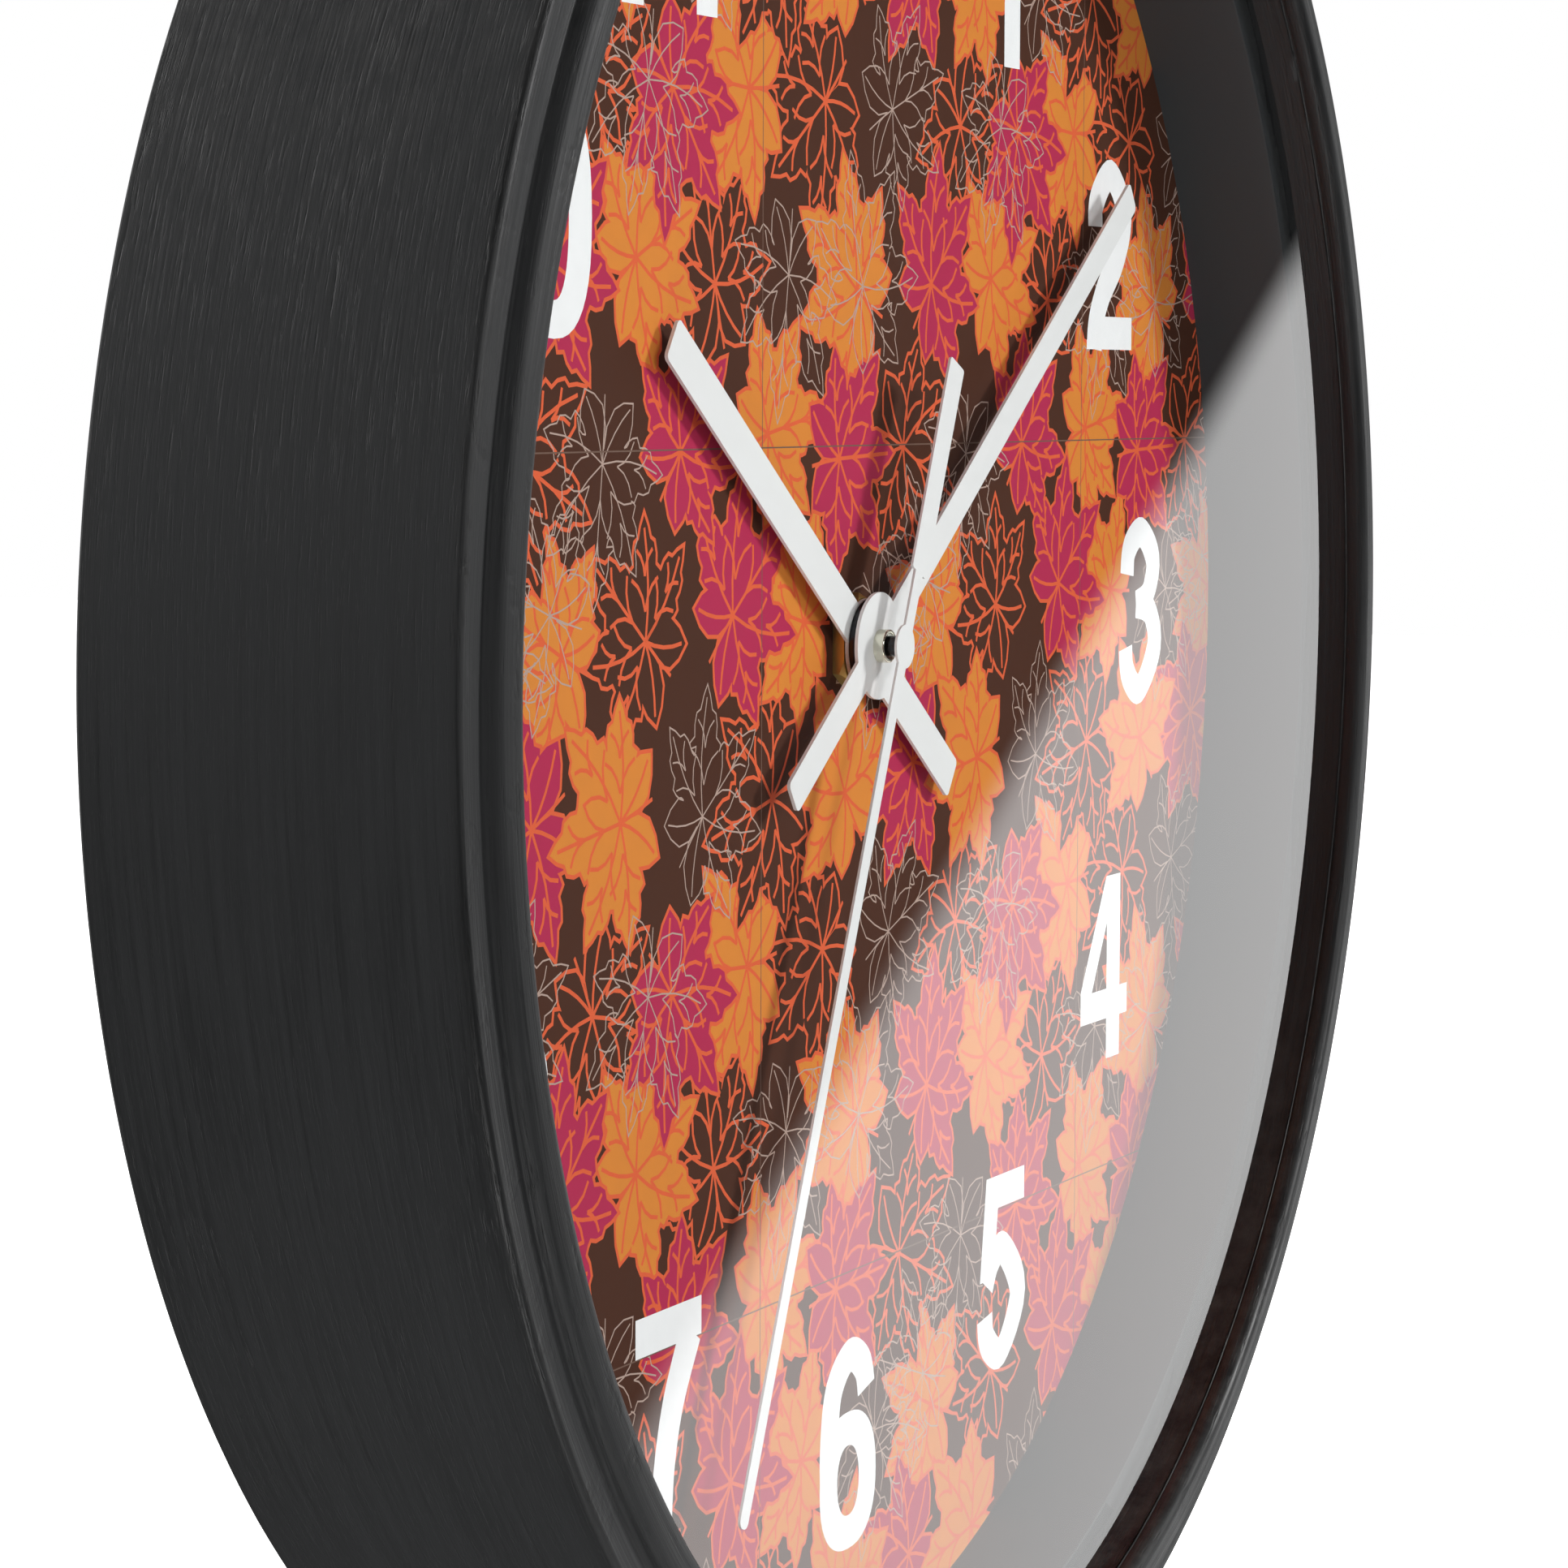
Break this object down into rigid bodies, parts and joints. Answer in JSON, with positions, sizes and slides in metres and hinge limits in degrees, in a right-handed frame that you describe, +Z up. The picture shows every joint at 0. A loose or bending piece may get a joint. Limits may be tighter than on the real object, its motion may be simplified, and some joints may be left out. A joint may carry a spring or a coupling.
{
  "type": "wall clock",
  "caption": "Round quartz wall clock: deep black wooden frame, clear flat cover, leaf-patterned dial with plain numerals, three white hands and a battery movement behind.",
  "frame": {"origin": "on the hands' axis, in the plane of the wall behind the frame's back rim", "axes": "+Z up to twelve o'clock, +Y into the wall, so the dial faces -Y; +X to the right seen from the front"},
  "size_m": [0.254, 0.042, 0.254],
  "materials": {
    "black_wood": "black satin paint over fine wood grain",
    "clear_acrylic": "clear, polished",
    "black_liner": "matt black",
    "printed_paper": "printed leaf pattern on dark brown, satin",
    "hardboard": "bare hardboard",
    "clip_steel": "zinc plated",
    "screw_steel": "zinc plated",
    "hanger_steel": "bright stamped steel",
    "gasket_rubber": "matt black",
    "brass": "turned, satin",
    "case_plastic": "moulded black, fine texture",
    "cell_jacket": "satin sleeve with bare ends",
    "contact_steel": "nickel plated",
    "plate_plastic": "moulded natural",
    "circuit_laminate": "green solder mask",
    "crystal_can": "bright can",
    "epoxy": "glossy black drop",
    "pole_steel": "bright soft iron",
    "bobbin_plastic": "moulded natural",
    "copper_wire": "enamelled copper winding",
    "magnet": "dark sintered",
    "gear_plastic": "moulded white",
    "pinion_plastic": "moulded red",
    "arbor_steel": "ground",
    "hour_gear_plastic": "moulded black",
    "setting_plastic": "moulded white",
    "white_hand": "white paint, satin",
    "bright_nut": "polished",
    "dark_collet": "blackened"
  },
  "bodies": {
    "clock": {"wood_frame": "black_wood", "glass": "clear_acrylic", "inner_wall": "black_liner", "dial_sheet": "printed_paper", "dial_board": "hardboard", "board_clips": "clip_steel", "clip_screws": "screw_steel", "hanger_plate": "hanger_steel", "movement_gasket": "gasket_rubber", "threaded_bush": "brass", "hex_nut": "brass", "front_case": "case_plastic", "rear_case": "case_plastic", "contact_positive": "contact_steel", "contact_negative": "contact_steel", "train_plate": "plate_plastic", "circuit_board": "circuit_laminate", "quartz_crystal": "crystal_can", "driver_chip": "epoxy", "stator": "pole_steel", "coil_core": "pole_steel", "coil_bobbin": "bobbin_plastic", "coil_winding": "copper_wire", "stator_screws": "screw_steel"},
    "rotor": {"rotor_magnet": "magnet", "rotor_pinion": "pinion_plastic"},
    "fifth": {"fifth_wheel": "gear_plastic"},
    "seconds": {"seconds_wheel": "gear_plastic", "seconds_shaft": "arbor_steel", "second_hand": "white_hand", "second_collet": "dark_collet"},
    "third": {"third_wheel": "gear_plastic"},
    "minute": {"centre_wheel": "gear_plastic", "minute_tube": "arbor_steel", "minute_hand": "white_hand", "minute_nut": "bright_nut"},
    "setting": {"motion_wheel": "setting_plastic", "setting_knob": "setting_plastic"},
    "hour": {"hour_wheel": "hour_gear_plastic", "hour_hand": "white_hand"},
    "cell": {"battery": "cell_jacket"}
  },
  "joints": [
    {"name": "seconds_spin", "type": "hinge", "parent": "clock", "child": "seconds", "pos_m": [0, -0.0046, 0], "axis": [0, 1, 0], "continuous": true},
    {"name": "rotor_spin", "type": "hinge", "parent": "clock", "child": "rotor", "pos_m": [0.01518, -0.0032, -0.00004], "axis": [0, 1, 0], "continuous": true},
    {"name": "fifth_spin", "type": "hinge", "parent": "clock", "child": "fifth", "pos_m": [0.01019, -0.0032, -0.00292], "axis": [0, 1, 0], "continuous": true},
    {"name": "third_spin", "type": "hinge", "parent": "clock", "child": "third", "pos_m": [-0.00352, -0.0061, 0.01021], "axis": [0, 1, 0], "continuous": true},
    {"name": "minute_spin", "type": "hinge", "parent": "clock", "child": "minute", "pos_m": [0, -0.0077, 0], "axis": [0, 1, 0], "continuous": true},
    {"name": "setting_spin", "type": "hinge", "parent": "clock", "child": "setting", "pos_m": [-0.0114, -0.0105, -0.0015], "axis": [0, 1, 0], "continuous": true},
    {"name": "hour_spin", "type": "hinge", "parent": "clock", "child": "hour", "pos_m": [0, -0.012, 0], "axis": [0, 1, 0], "continuous": true},
    {"name": "battery_out", "type": "slide", "parent": "clock", "child": "cell", "axis": [0, 1, 0], "range_m": [0, 0.03]}
  ],
  "couplings": [
    {"joint": "rotor_spin", "follows": "seconds_spin", "ratio": 30},
    {"joint": "fifth_spin", "follows": "seconds_spin", "ratio": -6},
    {"joint": "third_spin", "follows": "seconds_spin", "ratio": -0.125},
    {"joint": "minute_spin", "follows": "seconds_spin", "ratio": 0.016667},
    {"joint": "setting_spin", "follows": "seconds_spin", "ratio": -0.0055556},
    {"joint": "hour_spin", "follows": "seconds_spin", "ratio": 0.0013889}
  ]
}
